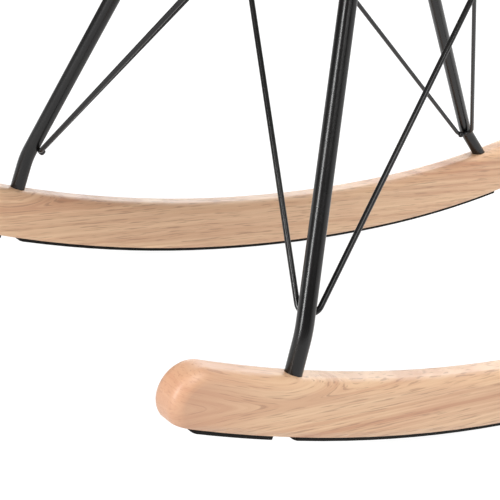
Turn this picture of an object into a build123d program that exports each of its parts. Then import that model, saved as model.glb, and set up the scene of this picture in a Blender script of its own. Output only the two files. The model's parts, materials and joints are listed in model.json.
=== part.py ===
from build123d import *

import math
import os

# Rocking chair: a moulded bucket seat on a welded steel base, carried by two bent-wood rockers.
#
# Frame: millimetres, +Z up, the sitter faces -Y, the rockers run along Y. The origin is on the
# floor at the line where both rockers touch it, midway between them.

# ---- Rockers ----
rocker_spacing = 371.0        # between the two rockers' centre planes
rocker_height = 42.2          # at the contact line, measured square to the curve
rocker_taper = 0.012          # gain in height per unit of length, from front to rear
rocker_thickness = 26.0
rocker_edge_radius = 8.0      # rounding of the upper edges and the noses
top_steps = 8                 # stretches between the points that shape the upper side
rocker_bottom_trim = 3.5      # the underside is planed off after rounding, which leaves it crisp
front_arc_radius = 1225.0     # floor-side curve, three tangent arcs
middle_arc_radius = 1501.0
rear_arc_radius = 1116.0
front_arc_starts = 0.044      # slope in radians where the middle arc ends at the front
rear_arc_starts = 0.127
front_end_arc = 355.7         # length of the curve from the contact line to the front tip
rear_end_arc = 404.0
end_upper_radius = 21.5
end_lower_radius = 19.5
nose_zone = 320.0             # beyond this |y| lie only the corners that the noses round off

# ---- Floor strips under the rockers ----
strip_thickness = 3.0
strip_width = 21.0
strip_corner = 3.0
strip_gaps = {"front": 18.0, "rear": 25.0}  # bare stretches round the bolt holes
strip_end_setback = 24.0

# ---- Legs ----
leg_diameter = 12.0
leg_wall = 1.5
leg_socket_depth = 16.0
leg_clearance = 0.5           # left under the tube's end in its socket
socket_clearance = 0.15
leg_arcs = {"front": -257.5, "rear": 313.8}   # place of each foot along the rocker's curve
foot_leans = {"front": (-0.065, 0.149), "rear": (0.022, -1.1)}  # travel per unit of height
foot_lengths = {"front": 27.5, "rear": 36.3}  # from the rocker's top to the bend
leg_leans = {"front": (-0.332, 0.227), "rear": (-0.346, -0.944)}  # above the bend
leg_bend_radius = 55.0

# ---- Top ring, pads and mounts ----
ring_height = 329.8
ring_rod = 8.0
ring_corner_radius = 24.0
pad_thickness = 3.0
pad_size = 36.0
pad_corner = 7.0
pad_inset = 15.0              # from the leg's top towards the middle, along X and along Y
mount_height = 8.0
mount_diameter = 30.0
mount_rim = 1.2

# ---- Braces ----
brace_wire = 4.0
brace_bend_radius = 8.0
weld_gap = 0.1
weld_distances = {"front": 39.5, "rear": 41.0}  # along the leg, from the rocker's top
cross_arm_reach = {"front": -19.4, "rear": 39.8}  # x of the arm that runs across the chair
side_arm_y = {"front": -72.0, "rear": -90.5}
crossing_offset = 2.4         # keeps arms that meet on the ring clear of each other
settling_rounds = 12          # the brace's corner and its arms' directions settle together

# ---- Fasteners ----
bolt_shank = 6.0
bolt_head = 10.0
bolt_head_height = 6.0
bolt_clearance = 0.3
counterbore = 16.5
counterbore_depths = {"front": 9.0, "rear": 14.0}
washer_outer = 15.0
washer_thickness = 1.6
plug_length = 26.0
rocker_bolt_length = 38.0
socket_across_flats = 5.0
socket_depth = 3.5
press_gap = 0.02              # between a plug and its tube
thread_gap = 0.05             # between a screw's plain cylinder and its mating thread
head_chamfer = 0.5
seat_screw = 6.0
seat_screw_head = 10.0
seat_screw_head_height = 4.0
seat_screw_length = 24.0
seat_socket_depth = 2.5
seat_washer_outer = 16.0
insert_outer = 9.0
insert_length = 12.0

# ---- Seat shell ----
shell_thickness = 5.0
boss_diameter = 26.0
spine_points = (              # (y, z) of the shell's middle line, from the front lip to the top
    (-343, 396), (-315, 407), (-250, 394), (-155, 371), (-55, 361), (35, 372),
    (100, 414), (143, 484), (175, 564), (203, 644), (225, 716),
)
half_width_middle = 302.0
half_width_front_loss = 66.0  # how much narrower the front is than the middle, on each side
half_width_back_loss = 84.0
wrap_middle = 205.0           # height of the side walls over the middle line, at the arms
wrap_front = 18.0
wrap_back = 52.0
wrap_front_spread = 0.23
wrap_back_spread = 0.31
wrap_power = 1.4
wrap_lean = 75.0              # the side walls lean from upright at the front to this at the top
arms_at = 0.5                 # place of the arms along the middle line
section_turn = math.radians(84)
rim_corner_front = 0.17       # stretches of the middle line over which the rim rounds its corners
rim_corner_back = 0.15
rim_corner_share = 0.42       # part of the full turn that is left at the very ends
section_steps = 14
section_places = (
    0, 0.01, 0.03, 0.06, 0.1, 0.15, 0.21, 0.28, 0.36, 0.44, 0.52, 0.6, 0.68, 0.76, 0.83, 0.89,
    0.935, 0.965, 0.99, 1,
)

os.makedirs("parts", exist_ok=True)


def save(part, name):
    """Label one finished piece and write it as its own STEP file."""
    part.label = name
    export_step(part, f"parts/{name}.step")


# ---- The rocker's curve ----
def curve_angle(length):
    """Slope of the rocker's curve, in radians, at a length along it from the contact line."""
    front_switch = -front_arc_starts * middle_arc_radius
    rear_switch = rear_arc_starts * middle_arc_radius
    if length < front_switch:
        return -front_arc_starts + (length - front_switch) / front_arc_radius
    if length > rear_switch:
        return rear_arc_starts + (length - rear_switch) / rear_arc_radius
    return length / middle_arc_radius


def curve_point(length, rise=0.0):
    """(y, z) at a length along the floor-side curve, offset by rise towards the curve's inside."""
    angle = curve_angle(length)
    if angle < -front_arc_starts:
        radius = front_arc_radius
        centre_y = -(middle_arc_radius - front_arc_radius) * math.sin(front_arc_starts)
        centre_z = middle_arc_radius - (middle_arc_radius - front_arc_radius) * math.cos(front_arc_starts)
    elif angle > rear_arc_starts:
        radius = rear_arc_radius
        centre_y = (middle_arc_radius - rear_arc_radius) * math.sin(rear_arc_starts)
        centre_z = middle_arc_radius - (middle_arc_radius - rear_arc_radius) * math.cos(rear_arc_starts)
    else:
        radius = middle_arc_radius
        centre_y = 0.0
        centre_z = middle_arc_radius
    reach = radius - rise
    return (centre_y + reach * math.sin(angle), centre_z - reach * math.cos(angle))


def curve_normal(length):
    """Unit vector square to the curve, pointing up into the rocker."""
    angle = curve_angle(length)
    return Vector(0, -math.sin(angle), math.cos(angle))


def wood_height(length):
    """Height of the wood, square to the curve, at a length along it."""
    return rocker_height + rocker_taper * length


def wood_top(length):
    """(y, z) on the rocker's upper side at a length along the curve."""
    return curve_point(length, strip_thickness + wood_height(length))


def band_arcs(start, end, rise):
    """Corner and middle points of the tangent arcs that follow the curve between two lengths."""
    front_switch = -front_arc_starts * middle_arc_radius
    rear_switch = rear_arc_starts * middle_arc_radius
    cuts = [start] + [s for s in (front_switch, rear_switch) if start < s < end] + [end]
    arcs = []
    for a, b in zip(cuts, cuts[1:]):
        arcs.append((curve_point(a, rise), curve_point((a + b) / 2, rise), curve_point(b, rise)))
    return arcs


def band(start, end, low, high, width):
    """Solid that follows the curve: a side outline between two offsets, extruded across."""
    with BuildPart() as strip:
        with BuildSketch(Plane.YZ):
            with BuildLine():
                for a, m, b in band_arcs(start, end, low):
                    ThreePointArc(a, m, b)
                for a, m, b in band_arcs(start, end, high):
                    ThreePointArc(a, m, b)
                Line(curve_point(start, low), curve_point(start, high))
                Line(curve_point(end, low), curve_point(end, high))
            make_face()
        extrude(amount=width / 2, both=True)
    return strip


def foot_point(place):
    """Where a leg's centre line meets the rocker's top, on the right-hand side."""
    y, z = wood_top(leg_arcs[place])
    return Vector(rocker_spacing / 2, y, z)


def foot_direction(place):
    lean_x, lean_y = foot_leans[place]
    return Vector(lean_x, lean_y, 1).normalized()


def foot_plane(place):
    """Plane at the rocker's top, with Z along the foot of the leg."""
    return Plane(origin=foot_point(place), x_dir=(1, 0, 0), z_dir=foot_direction(place))


def drilled_length(place):
    """Length of the hole through the rocker, along the foot's centre line."""
    height = wood_height(leg_arcs[place])
    return height / foot_direction(place).dot(curve_normal(leg_arcs[place]))


def exit_arc(place):
    """Place along the curve where the foot's centre line comes out of the rocker's underside."""
    normal = curve_normal(leg_arcs[place])
    tangent = Vector(0, normal.Z, -normal.Y)
    return leg_arcs[place] - drilled_length(place) * foot_direction(place).dot(tangent)


def make_rocker():
    """The right-hand rocker: bent blank, rounded noses and edges, and its two drilled seats."""
    underside = strip_thickness - rocker_bottom_trim
    span = rear_end_arc + front_end_arc
    lengths = [span * step / top_steps - front_end_arc for step in range(top_steps + 1)]
    waste = band(
        -front_end_arc - rocker_height, rear_end_arc + rocker_height,
        strip_thickness - rocker_height, strip_thickness, 2 * rocker_thickness,
    )
    with BuildPart() as rocker:
        with BuildSketch(Plane.YZ):
            with BuildLine():
                for a, m, b in band_arcs(-front_end_arc, rear_end_arc, underside):
                    ThreePointArc(a, m, b)
                Spline(*[wood_top(length) for length in lengths])
                Line(curve_point(-front_end_arc, underside), wood_top(-front_end_arc))
                Line(curve_point(rear_end_arc, underside), wood_top(rear_end_arc))
            make_face()
        extrude(amount=rocker_thickness / 2, both=True)
        for sign in (-1, 1):
            for radius, pick in ((end_lower_radius, 0), (end_upper_radius, -1)):
                corners = rocker.edges().filter_by(Axis.X)
                corners = corners.filter_by(lambda e: sign * e.center().Y > nose_zone)
                fillet(corners.sort_by(Axis.Z)[pick], radius)
        sides = rocker.edges().filter_by(
            lambda e: abs(abs(e.center().X) - rocker_thickness / 2) < 0.01
        )
        fillet(sides, rocker_edge_radius)
        add(waste.part, mode=Mode.SUBTRACT)
    with BuildPart() as placed:
        with Locations((rocker_spacing / 2, 0, 0)):
            add(rocker.part)
        for place in leg_arcs:
            top = foot_plane(place)
            bottom = top.offset(-drilled_length(place))
            with BuildSketch(top.offset(-leg_socket_depth)):
                Circle(leg_diameter / 2 + socket_clearance)
            extrude(amount=2 * leg_socket_depth, mode=Mode.SUBTRACT)
            with BuildSketch(bottom.offset(-counterbore)):
                Circle(counterbore / 2)
            extrude(amount=counterbore_depths[place] + counterbore, mode=Mode.SUBTRACT)
            with BuildSketch(bottom):
                Circle(bolt_shank / 2 + bolt_clearance)
            extrude(amount=drilled_length(place), mode=Mode.SUBTRACT)
    return placed


def make_strips():
    """The three lengths of non-slip strip under the right-hand rocker, bare under each leg."""
    stops = [-front_end_arc + strip_end_setback]
    for place in leg_arcs:
        half_gap = strip_gaps[place] / 2
        stops += [exit_arc(place) - half_gap, exit_arc(place) + half_gap]
    stops.append(rear_end_arc - strip_end_setback)
    strips = {}
    for place, start, end in zip(("front", "middle", "rear"), stops[0::2], stops[1::2]):
        length = band(start, end, 0.0, strip_thickness, strip_width)
        with BuildPart() as strip:
            with Locations((rocker_spacing / 2, 0, 0)):
                add(length.part)
            upright = strip.edges().filter_by(
                lambda e: abs(abs(e.center().X - rocker_spacing / 2) - strip_width / 2) < 0.01
                and e.length < strip_thickness * 1.5
            )
            fillet(upright, strip_corner)
        strips[place] = strip
    return strips


def save_pair(part, name):
    """Write the right-hand piece and its mirror image for the left."""
    save(part, f"{name}_right")
    save(mirror(part, about=Plane.YZ), f"{name}_left")


rocker = make_rocker()
save_pair(rocker.part, "rocker")
for place, strip in make_strips().items():
    save_pair(strip.part, f"floor_strip_{place}")


# ---- Legs, ring and braces ----
def leg_bend(place):
    """Corner of the leg's centre line, where the foot meets the long upper run."""
    return foot_point(place) + foot_direction(place) * foot_lengths[place]


def leg_point(place, height):
    """Point of the upper run's centre line at a height above the floor."""
    bend = leg_bend(place)
    lean_x, lean_y = leg_leans[place]
    climb = height - bend.Z
    return Vector(bend.X + lean_x * climb, bend.Y + lean_y * climb, height)


leg_tops = {place: leg_point(place, ring_height) for place in leg_arcs}


def ring_corners():
    """Sharp corners of the ring's centre line, set out so that its rounded corners pass the legs."""
    shift = ring_corner_radius * (1 - math.sqrt(0.5))
    front, rear = leg_tops["front"], leg_tops["rear"]
    return [
        (front.X + shift, front.Y - shift),
        (rear.X + shift, rear.Y + shift),
        (-rear.X - shift, rear.Y + shift),
        (-front.X - shift, front.Y - shift),
    ]


def make_ring(rod):
    """The closed rod that ties the four leg tops together, as one swept solid."""
    corners = [Vector(x, y, ring_height) for x, y in ring_corners()]
    with BuildPart() as ring:
        with BuildLine() as path:
            FilletPolyline(*corners, radius=ring_corner_radius, close=True)
        with BuildSketch(Plane(origin=path.line @ 0, z_dir=path.line % 0)):
            Circle(rod / 2)
        sweep()
    return ring


ring = make_ring(ring_rod)
ring_cutter = make_ring(ring_rod + 2 * weld_gap)
save(ring.part, "top_ring")


def leg_path(place, start_depth):
    """The leg's centre line: foot, one bend, long run up past the ring's axis."""
    start = foot_point(place) - foot_direction(place) * start_depth
    top = leg_point(place, ring_height + ring_rod / 2)
    return FilletPolyline(start, leg_bend(place), top, radius=leg_bend_radius)


def make_leg(place):
    """One right-hand leg tube, its top notched round the ring, its foot open for the plug."""
    depth = leg_socket_depth - leg_clearance
    start = foot_plane(place).offset(-depth)
    with BuildPart() as leg:
        with BuildLine():
            leg_path(place, depth)
        with BuildSketch(start):
            Circle(leg_diameter / 2)
            Circle(leg_diameter / 2 - leg_wall, mode=Mode.SUBTRACT)
        sweep()
        add(ring_cutter.part, mode=Mode.SUBTRACT)
        split(bisect_by=Plane.XY.offset(ring_height), keep=Keep.BOTTOM)
    return leg


legs = {place: make_leg(place) for place in leg_arcs}
for place, leg in legs.items():
    save_pair(leg.part, f"leg_{place}")


def leg_axis_at(place, distance):
    """Point and direction of a leg's centre line at a distance along it from the rocker's top."""
    centre_line = leg_path(place, 0)
    point = centre_line.position_at(distance, position_mode=PositionMode.LENGTH)
    direction = centre_line.tangent_at(distance, position_mode=PositionMode.LENGTH)
    return point, direction


def brace_ends(place, crossing):
    """Far ends of a right-hand brace's two arms, on the ring's centre line."""
    corners = ring_corners()
    side_x = (corners[0][0] + corners[1][0]) / 2
    if place == "front":
        across = Vector(cross_arm_reach[place], corners[0][1] + crossing, ring_height)
        along = Vector(side_x + crossing_offset, side_arm_y[place], ring_height)
    else:
        across = Vector(cross_arm_reach[place], corners[1][1], ring_height)
        along = Vector(side_x - crossing_offset, side_arm_y[place], ring_height)
    return across, along


def brace_corner(place, across, along):
    """Sharp corner of the brace's V, set so that its rounded bend just touches the leg."""
    axis_point, axis_direction = leg_axis_at(place, weld_distances[place])
    corner = axis_point
    for _ in range(settling_rounds):
        first = (across - corner).normalized()
        second = (along - corner).normalized()
        middle = (first + second).normalized()
        half = math.radians(first.get_angle(second) / 2)
        inward = (middle - axis_direction * middle.dot(axis_direction)).normalized()
        bend_bottom = axis_point + inward * (leg_diameter / 2 + brace_wire / 2 + weld_gap)
        corner = bend_bottom - middle * brace_bend_radius * (1 / math.sin(half) - 1)
    return corner


def make_brace(place, crossing):
    """One right-hand brace: a single wire bent into a V, both arms ending against the ring."""
    across, along = brace_ends(place, crossing)
    corner = brace_corner(place, across, along)
    with BuildPart() as brace:
        with BuildLine():
            FilletPolyline(across, corner, along, radius=brace_bend_radius)
        with BuildSketch(Plane(origin=across, z_dir=corner - across)):
            Circle(brace_wire / 2)
        sweep()
        add(ring_cutter.part, mode=Mode.SUBTRACT)
    return brace.solids().sort_by(SortBy.VOLUME)[-1]


for place in leg_arcs:
    save(make_brace(place, crossing_offset), f"brace_{place}_right")
    save(mirror(make_brace(place, -crossing_offset), about=Plane.YZ), f"brace_{place}_left")


# ---- Leg plugs and rocker bolts ----
def on_all_legs(piece_at):
    """Four separate solids as one group: a right-hand piece per leg, and its mirror image."""
    right = [piece_at(place) for place in leg_arcs]
    return Compound(children=right + [mirror(piece, about=Plane.YZ) for piece in right])


def bolt_seat(place):
    """Plane of the bolt head's upper face, just below the washer."""
    depth = counterbore_depths[place] - washer_thickness
    return foot_plane(place).offset(depth - drilled_length(place))


def leg_plug(place):
    """Threaded steel plug pressed into the foot of a leg."""
    with BuildPart() as plug:
        with BuildSketch(foot_plane(place).offset(2 * leg_clearance - leg_socket_depth)):
            Circle(leg_diameter / 2 - leg_wall - press_gap)
            Circle(bolt_shank / 2 + thread_gap, mode=Mode.SUBTRACT)
        extrude(amount=plug_length)
    return plug.solid()


def rocker_bolt(place):
    """Hexagon socket bolt that comes up through the rocker into the plug."""
    seat = bolt_seat(place)
    with BuildPart() as bolt:
        with BuildSketch(seat):
            Circle(bolt_head / 2)
        extrude(amount=-bolt_head_height)
        chamfer(bolt.faces().sort_by(Axis.Z)[0].edges(), head_chamfer)
        with BuildSketch(seat):
            Circle(bolt_shank / 2)
        extrude(amount=rocker_bolt_length)
        with BuildSketch(seat.offset(-bolt_head_height)):
            RegularPolygon(radius=socket_across_flats / 2, side_count=6, major_radius=False)
        extrude(amount=socket_depth, mode=Mode.SUBTRACT)
    return bolt.solid()


def rocker_washer(place):
    """Plain washer between the bolt's head and the bottom of the counterbore."""
    with BuildPart() as washer:
        with BuildSketch(bolt_seat(place)):
            Circle(washer_outer / 2)
            Circle(bolt_shank / 2 + bolt_clearance, mode=Mode.SUBTRACT)
        extrude(amount=washer_thickness)
    return washer.solid()


save(on_all_legs(leg_plug), "leg_plugs")
save(on_all_legs(rocker_bolt), "rocker_bolts")
save(on_all_legs(rocker_washer), "rocker_washers")


# ---- Pads on the ring, rubber mounts, seat screws ----
pad_low = ring_height + ring_rod / 2
pad_high = pad_low + pad_thickness
mount_high = pad_high + mount_height


def screw_place(place):
    """(x, y) of a right-hand seat screw, inside the ring's corner."""
    top = leg_tops[place]
    step = pad_inset if place == "front" else -pad_inset
    return (top.X - pad_inset, top.Y + step)


def make_pad(place):
    """Steel plate welded on top of the ring's corner, with the hole for a seat screw."""
    x, y = screw_place(place)
    with BuildPart() as pad:
        with BuildSketch(Plane.XY.offset(pad_low)):
            with Locations((x, y)):
                RectangleRounded(pad_size, pad_size, pad_corner)
                Circle(seat_screw / 2 + bolt_clearance, mode=Mode.SUBTRACT)
        extrude(amount=pad_thickness)
    return pad


def make_mount(place):
    """Round rubber mount between the pad and the shell."""
    x, y = screw_place(place)
    with BuildPart() as rubber:
        with BuildSketch(Plane.XY.offset(pad_high)):
            with Locations((x, y)):
                Circle(mount_diameter / 2)
                Circle(seat_screw / 2 + bolt_clearance, mode=Mode.SUBTRACT)
        extrude(amount=mount_height)
        rims = rubber.edges().filter_by(GeomType.CIRCLE)
        rims = rims.filter_by(lambda e: e.radius > seat_screw)
        fillet(rims, mount_rim)
    return rubber


for place in leg_arcs:
    save_pair(make_pad(place).part, f"corner_pad_{place}")
    save_pair(make_mount(place).part, f"rubber_mount_{place}")


def on_all_screws(piece_at):
    """Four separate solids as one group, one on each seat screw's axis."""
    right = [piece_at(*screw_place(place)) for place in leg_arcs]
    return Compound(children=right + [mirror(piece, about=Plane.YZ) for piece in right])


def seat_washer(x, y):
    with BuildPart() as washer:
        with BuildSketch(Plane.XY.offset(pad_low - washer_thickness)):
            with Locations((x, y)):
                Circle(seat_washer_outer / 2)
                Circle(seat_screw / 2 + bolt_clearance, mode=Mode.SUBTRACT)
        extrude(amount=washer_thickness)
    return washer.solid()


def seat_bolt(x, y):
    """Socket screw that comes up through the pad and the rubber mount into the insert."""
    seat = pad_low - washer_thickness
    with BuildPart() as screw:
        with BuildSketch(Plane.XY.offset(seat - seat_screw_head_height)):
            with Locations((x, y)):
                Circle(seat_screw_head / 2)
        extrude(amount=seat_screw_head_height)
        chamfer(screw.faces().sort_by(Axis.Z)[0].edges(), head_chamfer)
        with BuildSketch(Plane.XY.offset(seat)):
            with Locations((x, y)):
                Circle(seat_screw / 2)
        extrude(amount=seat_screw_length)
        with BuildSketch(Plane.XY.offset(seat - seat_screw_head_height)):
            with Locations((x, y)):
                RegularPolygon(radius=socket_across_flats / 2, side_count=6, major_radius=False)
        extrude(amount=seat_socket_depth, mode=Mode.SUBTRACT)
    return screw.solid()


def seat_insert(x, y):
    """Brass insert moulded into the shell's boss, threaded for the seat screw."""
    with BuildPart() as insert:
        with BuildSketch(Plane.XY.offset(mount_high)):
            with Locations((x, y)):
                Circle(insert_outer / 2)
                Circle(seat_screw / 2 + thread_gap, mode=Mode.SUBTRACT)
        extrude(amount=insert_length)
    return insert.solid()


save(on_all_screws(seat_washer), "seat_washers")
save(on_all_screws(seat_bolt), "seat_screws")
save(on_all_screws(seat_insert), "seat_inserts")


# ---- Seat shell ----
def half_width(along):
    """Half width of the shell at a place along its middle line, widest at the arms."""
    if along < arms_at:
        return half_width_middle - half_width_front_loss * ((arms_at - along) / arms_at) ** 2
    return half_width_middle - half_width_back_loss * ((along - arms_at) / (1 - arms_at)) ** 2


def wrap_depth(along):
    """How far the side walls rise: a bell curve about the arms, lower at both ends."""
    end, spread = wrap_front, wrap_front_spread
    if along > arms_at:
        end, spread = wrap_back, wrap_back_spread
    return end + (wrap_middle - end) * math.exp(-(((along - arms_at) / spread) ** 2))


def rim_turn(along):
    """How far round a cross-section runs; it shortens at both ends, which rounds the rim."""
    left = 1.0
    if along < rim_corner_front:
        left = 1 - along / rim_corner_front
    elif along > 1 - rim_corner_back:
        left = 1 - (1 - along) / rim_corner_back
    else:
        return section_turn
    return section_turn * math.sqrt(1 - (1 - rim_corner_share ** 2) * left ** 2)


spine = Spline(*[Vector(0, y, z) for y, z in spine_points])


def section_plane(along):
    """Plane of one cross-section of the shell: X across, Y along the lean of the side walls."""
    lean = math.radians(wrap_lean * along)
    facing = (0, -math.cos(lean), -math.sin(lean))
    return Plane(origin=spine.position_at(along), x_dir=(1, 0, 0), z_dir=facing)


def section_points(along, offset):
    """Points of one cross-section, from left to right, offset square to its middle line."""
    width = half_width(along)
    depth = wrap_depth(along)
    points = []
    for step in range(section_steps + 1):
        turn = (2 * step / section_steps - 1) * rim_turn(along)
        flat = 1 - math.cos(turn)
        slope_x = width * math.cos(turn)
        slope_y = depth * wrap_power * flat ** (wrap_power - 1) * math.sin(turn)
        size = math.hypot(slope_x, slope_y)
        points.append((
            width * math.sin(turn) - offset * slope_y / size,
            depth * flat ** wrap_power + offset * slope_x / size,
        ))
    return points


def rim_arc(upper, lower, before):
    """Half round that closes a cross-section at its rim, away from the point before the rim."""
    middle = (Vector(*upper) + Vector(*lower)) * 0.5
    outward = middle - Vector(*before)
    thickness = Vector(*upper) - Vector(*lower)
    square = (outward - thickness * (outward.dot(thickness) / thickness.dot(thickness))).normalized()
    ThreePointArc(upper, middle + square * shell_thickness / 2, lower)


def make_shell():
    """The moulded shell, lofted through cross-sections from the front lip to the top of the
    back, with four bosses below for the seat screws."""
    with BuildPart() as shell:
        for along in section_places:
            upper = section_points(along, shell_thickness / 2)
            lower = section_points(along, -shell_thickness / 2)
            with BuildSketch(section_plane(along)):
                with BuildLine():
                    Spline(*upper)
                    Spline(*lower)
                    rim_arc(upper[0], lower[0], upper[1])
                    rim_arc(upper[-1], lower[-1], upper[-2])
                make_face()
        loft()
        with BuildSketch(Plane.XY.offset(mount_high)):
            for place in leg_arcs:
                x, y = screw_place(place)
                with Locations((x, y), (-x, y)):
                    Circle(boss_diameter / 2)
        extrude(until=Until.NEXT)
        with BuildSketch(Plane.XY.offset(mount_high)):
            for place in leg_arcs:
                x, y = screw_place(place)
                with Locations((x, y), (-x, y)):
                    Circle(insert_outer / 2)
        extrude(amount=insert_length, mode=Mode.SUBTRACT)
    return shell


shell = make_shell()
save(shell.part, "seat_shell")
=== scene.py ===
"""Looks for the rocking chair: materials, weld beads, floor, lights and the camera."""

import json
import math

import bmesh
import bpy
from mathutils import Matrix, Vector, noise


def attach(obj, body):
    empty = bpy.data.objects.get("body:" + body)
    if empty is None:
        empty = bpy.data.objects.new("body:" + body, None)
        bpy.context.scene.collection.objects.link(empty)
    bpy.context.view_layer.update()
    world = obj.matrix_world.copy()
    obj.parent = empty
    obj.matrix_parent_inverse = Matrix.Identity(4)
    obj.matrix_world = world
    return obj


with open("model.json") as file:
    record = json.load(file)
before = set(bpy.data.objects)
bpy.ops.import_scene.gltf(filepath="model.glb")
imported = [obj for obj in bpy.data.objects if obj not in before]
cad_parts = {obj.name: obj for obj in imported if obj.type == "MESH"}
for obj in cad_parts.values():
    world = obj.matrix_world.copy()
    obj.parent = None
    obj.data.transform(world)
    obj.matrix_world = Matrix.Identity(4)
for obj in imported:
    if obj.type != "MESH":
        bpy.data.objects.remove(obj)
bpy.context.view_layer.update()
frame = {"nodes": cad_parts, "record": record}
nodes = frame["nodes"]
scene = bpy.context.scene


# ---- Node helpers ----
noise_low, noise_high = 0.3, 0.7   # a noise mostly lies between these


class Graph:
    """Short ways to add and join shader nodes in one material."""

    def __init__(self, name):
        self.material = bpy.data.materials.new(name)
        self.material.use_nodes = True
        self.tree = self.material.node_tree
        self.shader = self.tree.nodes["Principled BSDF"]
        self.place = self.add("ShaderNodeTexCoord").outputs["Object"]

    def add(self, kind, **settings):
        node = self.tree.nodes.new(kind)
        for key, value in settings.items():
            setattr(node, key, value)
        return node

    def feed(self, socket, value):
        """Link a socket to another node's output, or give it a plain value."""
        if hasattr(value, "is_output"):
            self.tree.links.new(value, socket)
        else:
            socket.default_value = value

    def math(self, operation, a, b=0.0, c=0.0):
        node = self.add("ShaderNodeMath", operation=operation)
        for socket, value in zip(node.inputs, (a, b, c)):
            self.feed(socket, value)
        return node.outputs[0]

    def split(self, vector):
        node = self.add("ShaderNodeSeparateXYZ")
        self.feed(node.inputs[0], vector)
        return node.outputs[0], node.outputs[1], node.outputs[2]

    def join(self, x, y, z):
        node = self.add("ShaderNodeCombineXYZ")
        for socket, value in zip(node.inputs, (x, y, z)):
            self.feed(socket, value)
        return node.outputs[0]

    def stretch(self, parts, factors):
        """A vector whose parts are each multiplied by their own factor."""
        return self.join(*(self.math("MULTIPLY", a, b) for a, b in zip(parts, factors)))

    def swing(self, value, reach):
        """A value about one half turned into one about zero."""
        return self.math("MULTIPLY", self.math("SUBTRACT", value, 0.5), reach)

    def noise(self, vector, scale, detail=3.0, rough=0.5, distortion=0.0):
        node = self.add("ShaderNodeTexNoise")
        self.feed(node.inputs["Vector"], vector)
        node.inputs["Scale"].default_value = scale
        node.inputs["Detail"].default_value = detail
        node.inputs["Roughness"].default_value = rough
        node.inputs["Distortion"].default_value = distortion
        return node.outputs["Fac"]

    def ramp(self, value, *stops):
        """Colour ramp. Each stop is (position, colour or grey)."""
        node = self.add("ShaderNodeValToRGB")
        self.feed(node.inputs[0], value)
        marks = node.color_ramp.elements
        while len(marks) < len(stops):
            marks.new(0.5)
        for mark, (position, colour) in zip(marks, stops):
            mark.position = position
            if isinstance(colour, (int, float)):
                colour = (colour, colour, colour)
            mark.color = (*colour, 1)
        return node.outputs[0]

    def span(self, value, low, high, new_low=0.0, new_high=1.0):
        node = self.add("ShaderNodeMapRange")
        for socket, number in zip(node.inputs, (value, low, high, new_low, new_high)):
            self.feed(socket, number)
        return node.outputs[0]

    def vary(self, value, new_low=0.0, new_high=1.0):
        """A noise's usual range, turned into another one."""
        return self.span(value, noise_low, noise_high, new_low, new_high)

    def mix(self, share, a, b):
        """The first colour where the share is 0, the second where it is 1."""
        node = self.add("ShaderNodeMix", data_type="RGBA")
        colours = [socket for socket in node.inputs if socket.type == "RGBA"]
        self.feed(node.inputs[0], share)
        for socket, value in zip(colours, (a, b)):
            self.feed(socket, value if hasattr(value, "is_output") else (*value, 1))
        return [socket for socket in node.outputs if socket.type == "RGBA"][0]

    def bump(self, height, strength, distance):
        node = self.add("ShaderNodeBump")
        node.inputs["Strength"].default_value = strength
        node.inputs["Distance"].default_value = distance
        self.feed(node.inputs["Height"], height)
        return node.outputs[0]

    def set(self, **sockets):
        """Feed the shader's sockets by name, with _ for each space."""
        for key, value in sockets.items():
            socket = self.shader.inputs[key.replace("_", " ")]
            if isinstance(value, tuple):
                value = (*value, 1)
            self.feed(socket, value)


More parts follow.
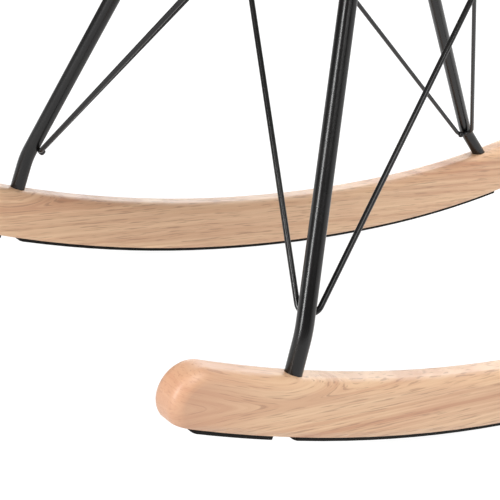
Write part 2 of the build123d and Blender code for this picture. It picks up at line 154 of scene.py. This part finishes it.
# ---- Materials ----
def wood():
    """Pale close-grained hardwood: long straight rings, folded into one wedge by the front leg."""
    wedge_y, wedge_z = 0.255, 0.050   # the wedge's place: this far in front, this high
    lower_slope, upper_slope, unfold, across_slope = 0.02, 0.30, 0.60, 0.10
    fold_softness, unfold_softness = 0.008, 0.05
    wander_reach, ripple_reach = 0.010, 0.003
    fine_rings, broad_rings = 190.0, 45.0   # about so many to a metre
    ring_brown, streak_brown = (0.500, 0.245, 0.134), (0.500, 0.252, 0.146)
    # The nose colour is a pinker wood tone, and also painted shade that darkens the nose.
    pore_brown, nose_pink_shade = (0.330, 0.170, 0.095), (0.500, 0.250, 0.150)
    pale_band = (0.790, 0.572, 0.362)
    nose_end, nose_start = -0.350, -0.270

    g = Graph("rocker_wood")
    x, y, z = g.split(g.place)
    wander = g.noise(g.stretch((x, y, z), (3.0, 3.0, 7.0)), 1.0, 2.0)
    ripple = g.noise(g.stretch((x, y, z), (1.0, 0.12, 1.0)), 90.0, 2.0)
    # Rings: lines below the wedge run on to the back, those above it dip there and rise again.
    back = g.math("ADD", y, wedge_y)
    rise = g.math("ADD", g.math("ADD", z, g.swing(wander, wander_reach)), -wedge_z)
    lower = g.math("SUBTRACT", g.math("MULTIPLY", back, lower_slope), rise)
    upper = g.math("MULTIPLY_ADD", back, upper_slope, rise)
    behind = g.math("SMOOTH_MAX", back, 0.0, unfold_softness)
    upper = g.math("MULTIPLY_ADD", behind, -unfold, upper)
    ring = g.math("SMOOTH_MAX", lower, upper, fold_softness)
    ring = g.math("MULTIPLY_ADD", x, across_slope, ring)
    ring = g.math("ADD", ring, g.swing(ripple, ripple_reach))
    band = g.noise(g.join(0.0, 0.0, ring), fine_rings, 3.0, 0.6)
    wide = g.noise(g.join(0.3, 0.0, ring), broad_rings, 1.0)
    # Pores and streaks: thin dashes and longer marks along the grain.
    along = g.math("ADD", y, g.math("MULTIPLY", z, 0.1))
    dashes = g.noise(g.stretch((x, along, ring), (420.0, 40.0, 1150.0)), 1.0, 1.5, 0.5)
    pore = g.ramp(dashes, (0.57, 0.0), (0.66, 1.0))
    streak = g.noise(g.stretch((x, along, ring), (40.0, 6.0, 330.0)), 1.0, 3.0, 0.6)
    patch = g.noise(g.stretch((x, y, ring), (9.0, 6.0, 26.0)), 1.0, 2.0)
    base = g.ramp(
        patch,
        (0.32, (0.640, 0.378, 0.222)),
        (0.45, (0.680, 0.428, 0.256)),
        (0.56, (0.715, 0.475, 0.286)),
        (0.68, (0.650, 0.390, 0.236)),
    )
    colour = g.mix(g.ramp(band, (0.40, 0.0), (0.60, 0.85)), base, ring_brown)
    colour = g.mix(g.ramp(wide, (0.35, 0.0), (0.65, 0.40)), colour, pale_band)
    colour = g.mix(g.ramp(streak, (0.50, 0.0), (0.72, 0.55)), colour, streak_brown)
    colour = g.mix(g.ramp(pore, (0.0, 0.0), (1.0, 0.55)), colour, pore_brown)
    # The nose is a little pinker than the rest, and painted darker there as painted shade.
    colour = g.mix(g.span(y, nose_end, nose_start, 0.75, 0.0), colour, nose_pink_shade)
    roughness = g.vary(streak, 0.38, 0.50)
    height = g.math("SUBTRACT", g.math("MULTIPLY", band, 0.25), g.math("MULTIPLY", pore, 0.6))
    g.set(Base_Color=colour, Roughness=roughness, Normal=g.bump(height, 0.30, 0.0004))
    g.set(Coat_Weight=0.35, Coat_Roughness=0.48, IOR=1.48)
    return g.material


def black_coat():
    """Semi-gloss black powder coat: faint orange peel, and duller specks of dust and handling."""
    g = Graph("black_coat")
    peel = g.noise(g.place, 900.0, 2.0, 0.5)
    haze = g.noise(g.place, 26.0, 4.0, 0.6)
    speck = g.ramp(g.noise(g.place, 2600.0, 1.0, 0.5), (0.70, 0.0), (0.78, 1.0))
    dark, light, dust = (0.0038, 0.0035, 0.0037), (0.0070, 0.0064, 0.0062), (0.10, 0.095, 0.09)
    colour = g.mix(g.vary(haze), dark, light)
    colour = g.mix(g.math("MULTIPLY", speck, 0.10), colour, dust)
    roughness = g.math("ADD", g.vary(haze, 0.22, 0.30), g.math("MULTIPLY", speck, 0.1))
    g.set(Base_Color=colour, Roughness=roughness, Normal=g.bump(peel, 0.10, 0.0002))
    g.set(Coat_Weight=0.05, Coat_Roughness=0.18, IOR=1.42)
    return g.material


def strip_rubber():
    """Black non-slip strip with a fine grain and light scuffs all over."""
    g = Graph("strip")
    grain = g.noise(g.place, 1400.0, 3.0, 0.7)
    scuff = g.noise(g.place, 60.0, 4.0, 0.7)
    dark, light = (0.004, 0.0035, 0.003), (0.014, 0.012, 0.010)
    colour = g.mix(g.ramp(scuff, (0.45, 0.0), (0.75, 0.5)), dark, light)
    roughness = g.vary(scuff, 0.62, 0.85)
    g.set(Base_Color=colour, Roughness=roughness, Specular_IOR_Level=0.2)
    g.set(Normal=g.bump(grain, 0.5, 0.0003))
    return g.material


def mount_rubber():
    """Dark rubber with a faint grey bloom."""
    g = Graph("mount_rubber")
    bloom = g.noise(g.place, 120.0, 4.0, 0.6)
    dark, light = (0.016, 0.016, 0.016), (0.040, 0.040, 0.041)
    colour = g.mix(g.vary(bloom), dark, light)
    roughness = g.vary(bloom, 0.55, 0.72)
    g.set(Base_Color=colour, Roughness=roughness, Normal=g.bump(bloom, 0.3, 0.0003))
    return g.material


def shell_plastic():
    """Off-white moulded plastic: fine even texture, faint flow and handling marks."""
    g = Graph("shell_plastic")
    texture = g.noise(g.place, 1500.0, 2.0, 0.6)
    flow = g.noise(g.place, 6.0, 3.0, 0.5, 0.6)
    wear = g.noise(g.place, 45.0, 5.0, 0.65)
    scratch = g.noise(g.stretch(g.split(g.place), (260.0, 22.0, 260.0)), 1.0, 1.0)
    dark, light, worn = (0.400, 0.396, 0.380), (0.450, 0.446, 0.432), (0.330, 0.322, 0.305)
    colour = g.mix(g.vary(flow), dark, light)
    colour = g.mix(g.ramp(wear, (0.55, 0.0), (0.80, 0.18)), colour, worn)
    scuffs = g.math("MULTIPLY", g.ramp(scratch, (0.62, 0.0), (0.70, 1.0)), 0.06)
    roughness = g.math("ADD", g.vary(wear, 0.40, 0.52), scuffs)
    g.set(Base_Color=colour, Roughness=roughness, Normal=g.bump(texture, 0.07, 0.00015))
    g.set(Subsurface_Weight=0.06, Subsurface_Scale=0.004, IOR=1.49)
    return g.material


def metal(name, light, dark, rough):
    """Plated or turned metal with fine brush lines and duller patches."""
    g = Graph(name)
    brush = g.noise(g.stretch(g.split(g.place), (500.0, 500.0, 4200.0)), 1.0, 2.0)
    stain = g.noise(g.place, 160.0, 4.0, 0.6)
    colour = g.mix(g.span(stain, 0.35, 0.7), light, dark)
    roughness = g.vary(stain, rough, rough + 0.15)
    g.set(Base_Color=colour, Metallic=1.0, Roughness=roughness, Normal=g.bump(brush, 0.15, 0.0001))
    return g.material


finish = {
    "rocker_wood": wood(),
    "black_coat": black_coat(),
    "strip": strip_rubber(),
    "mount_rubber": mount_rubber(),
    "shell_plastic": shell_plastic(),
    "zinc_steel": metal("zinc_steel", (0.66, 0.66, 0.64), (0.48, 0.48, 0.47), 0.28),
    "insert_brass": metal("insert_brass", (0.72, 0.53, 0.25), (0.55, 0.38, 0.17), 0.26),
}
for part in frame["record"]["subparts"]:
    mesh = nodes[part["node"]].data
    mesh.materials.clear()
    mesh.materials.append(finish[part["material_slot"]])


# ---- Welds ----
# Radii and reaches are in metres, and a squash is a bead's height over its width.
leg_bead, leg_bead_squash = 0.0066, 0.42
wire_bead, wire_end_squash = 0.0031, 1.1
top_reach, bend_reach, end_reach = 0.002, 0.0025, 0.02
lump_depth, lump_scale = 0.16, 600.0


def points_near(node, height, reach):
    """World points of a piece's mesh within reach of a height."""
    piece = nodes[node]
    points = [piece.matrix_world @ vertex.co for vertex in piece.data.vertices]
    return [point for point in points if abs(point.z - height) < reach]


def middle(points):
    return sum(points, Vector()) / len(points)


def weld_bead(place, radius, squash):
    """One small lumpy bead of weld metal, coated with the rest of the base."""
    mesh = bpy.data.meshes.new("weld_bead")
    shape = bmesh.new()
    bmesh.ops.create_icosphere(shape, subdivisions=3, radius=radius)
    for vertex in shape.verts:
        vertex.co *= 1 + lump_depth * noise.noise((vertex.co + place) * lump_scale)
        vertex.co.z *= squash
    shape.to_mesh(mesh)
    shape.free()
    mesh.polygons.foreach_set("use_smooth", [True] * len(mesh.polygons))
    bead = bpy.data.objects.new("weld_bead", mesh)
    bead.location = place
    scene.collection.objects.link(bead)
    mesh.materials.append(finish["black_coat"])
    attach(bead, "root")


def weld_base():
    """Beads where each brace meets its leg and the ring, and where each leg meets the ring."""
    for name, piece in nodes.items():
        if not name.startswith(("brace_", "leg_")) or name == "leg_plugs":
            continue
        heights = [(piece.matrix_world @ vertex.co).z for vertex in piece.data.vertices]
        top = points_near(name, max(heights), top_reach)
        if name.startswith("leg_"):
            weld_bead(middle(top), leg_bead, leg_bead_squash)
            continue
        weld_bead(middle(points_near(name, min(heights), bend_reach)), wire_bead, 1.0)
        side = 1 if "right" in name else -1
        ends = sorted(top, key=lambda point: side * point.x + point.y)
        for seed in (ends[0], ends[-1]):
            end = [point for point in top if (point - seed).length < end_reach]
            weld_bead(middle(end), wire_bead, wire_end_squash)


weld_base()


# ---- Floor, lights and camera ----
def floor_white():
    """Grey paper with a white glow of its own, so that it looks white and shadows stay faint."""
    grey, clouded = (0.10, 0.10, 0.10), (0.099, 0.099, 0.099)
    g = Graph("floor_white")
    soft = g.noise(g.place, 3.0, 2.0)
    g.set(Base_Color=g.mix(g.vary(soft), grey, clouded), Roughness=0.9)
    g.set(Emission_Color=(1.0, 1.0, 1.0), Emission_Strength=0.97)
    return g.material


def floor_and_backdrop():
    """A pale floor that sweeps up behind the chair, a hair below the strips."""
    near, far, wide, tall, bend = -6.0, 6.0, 12.0, 6.0, 1.5
    drop, bend_steps = 0.0002, 8
    profile = [(near, 0.0)]
    for step in range(bend_steps + 1):
        turn = math.pi / 2 * step / bend_steps
        profile.append((far - bend + bend * math.sin(turn), bend - bend * math.cos(turn)))
    profile.append((far, tall))
    points = [(x, y, z - drop) for y, z in profile for x in (-wide, wide)]
    faces = [(2 * i, 2 * i + 1, 2 * i + 3, 2 * i + 2) for i in range(len(profile) - 1)]
    mesh = bpy.data.meshes.new("floor")
    mesh.from_pydata(points, [], faces)
    mesh.polygons.foreach_set("use_smooth", [True] * len(faces))
    floor = bpy.data.objects.new("floor", mesh)
    scene.collection.objects.link(floor)
    mesh.materials.append(floor_white())


def area_light(name, place, target, size, power):
    """A white rectangular light, aimed at a point."""
    data = bpy.data.lights.new(name, "AREA")
    data.shape = "RECTANGLE"
    data.size, data.size_y = size
    data.energy = power
    light = bpy.data.objects.new(name, data)
    light.location = place
    light.rotation_euler = (Vector(target) - Vector(place)).to_track_quat("-Z", "Y").to_euler()
    scene.collection.objects.link(light)


def set_camera():
    """The photograph's viewpoint. The small shift is there because the photograph is a crop."""
    place = Vector((0.78107, -0.79910, 0.41240))
    yaw, pitch, roll = (math.radians(v) for v in (-40.540, -19.244, 9.999))
    flat = math.cos(pitch)
    forward = Vector((-math.cos(yaw) * flat, -math.sin(yaw) * flat, math.sin(pitch)))
    level = forward.cross(Vector((0, 0, 1))).normalized()
    upright = level.cross(forward)
    right = level * math.cos(roll) + upright * math.sin(roll)
    up = upright * math.cos(roll) - level * math.sin(roll)
    data = bpy.data.cameras.new("camera")
    data.sensor_width, data.lens = 36.0, 99.9648
    data.shift_x, data.shift_y = -0.0196, 0.0432
    data.clip_start = 0.05
    camera = bpy.data.objects.new("camera", data)
    turn = Matrix((right, up, -forward)).transposed().to_4x4()
    camera.matrix_world = Matrix.Translation(place) @ turn
    scene.collection.objects.link(camera)
    scene.camera = camera


def set_world():
    """The camera sees a white studio, while the chair is lit by a much dimmer one."""
    world = bpy.data.worlds.new("studio")
    world.use_nodes = True
    tree = world.node_tree
    sky = tree.nodes["Background"]
    sky.inputs["Color"].default_value = (1.0, 1.0, 1.0, 1)
    rays = tree.nodes.new("ShaderNodeLightPath")
    level = tree.nodes.new("ShaderNodeMapRange")
    level.inputs["To Min"].default_value = 0.16
    level.inputs["To Max"].default_value = 1.0
    tree.links.new(rays.outputs["Is Camera Ray"], level.inputs["Value"])
    tree.links.new(level.outputs[0], sky.inputs["Strength"])
    scene.world = world


floor_and_backdrop()
set_camera()
set_world()
# Each light's place, the point it is aimed at, its width and height, and its power in watts.
area_light("key", (0.25, -2.3, 0.95), (0.18, -0.1, 0.15), (0.42, 1.5), 42)
area_light("side", (2.0, -0.4, 2.8), (0, 0, 0.1), (2.0, 2.0), 71)
area_light("top", (0.0, 0.4, 2.8), (0, 0, 0), (2.0, 2.0), 58)
area_light("back", (-2.8, 2.8, 1.5), (0, 0, 0.05), (4.0, 2.0), 64)
scene.view_settings.view_transform = "Standard"
scene.view_settings.look = "None"
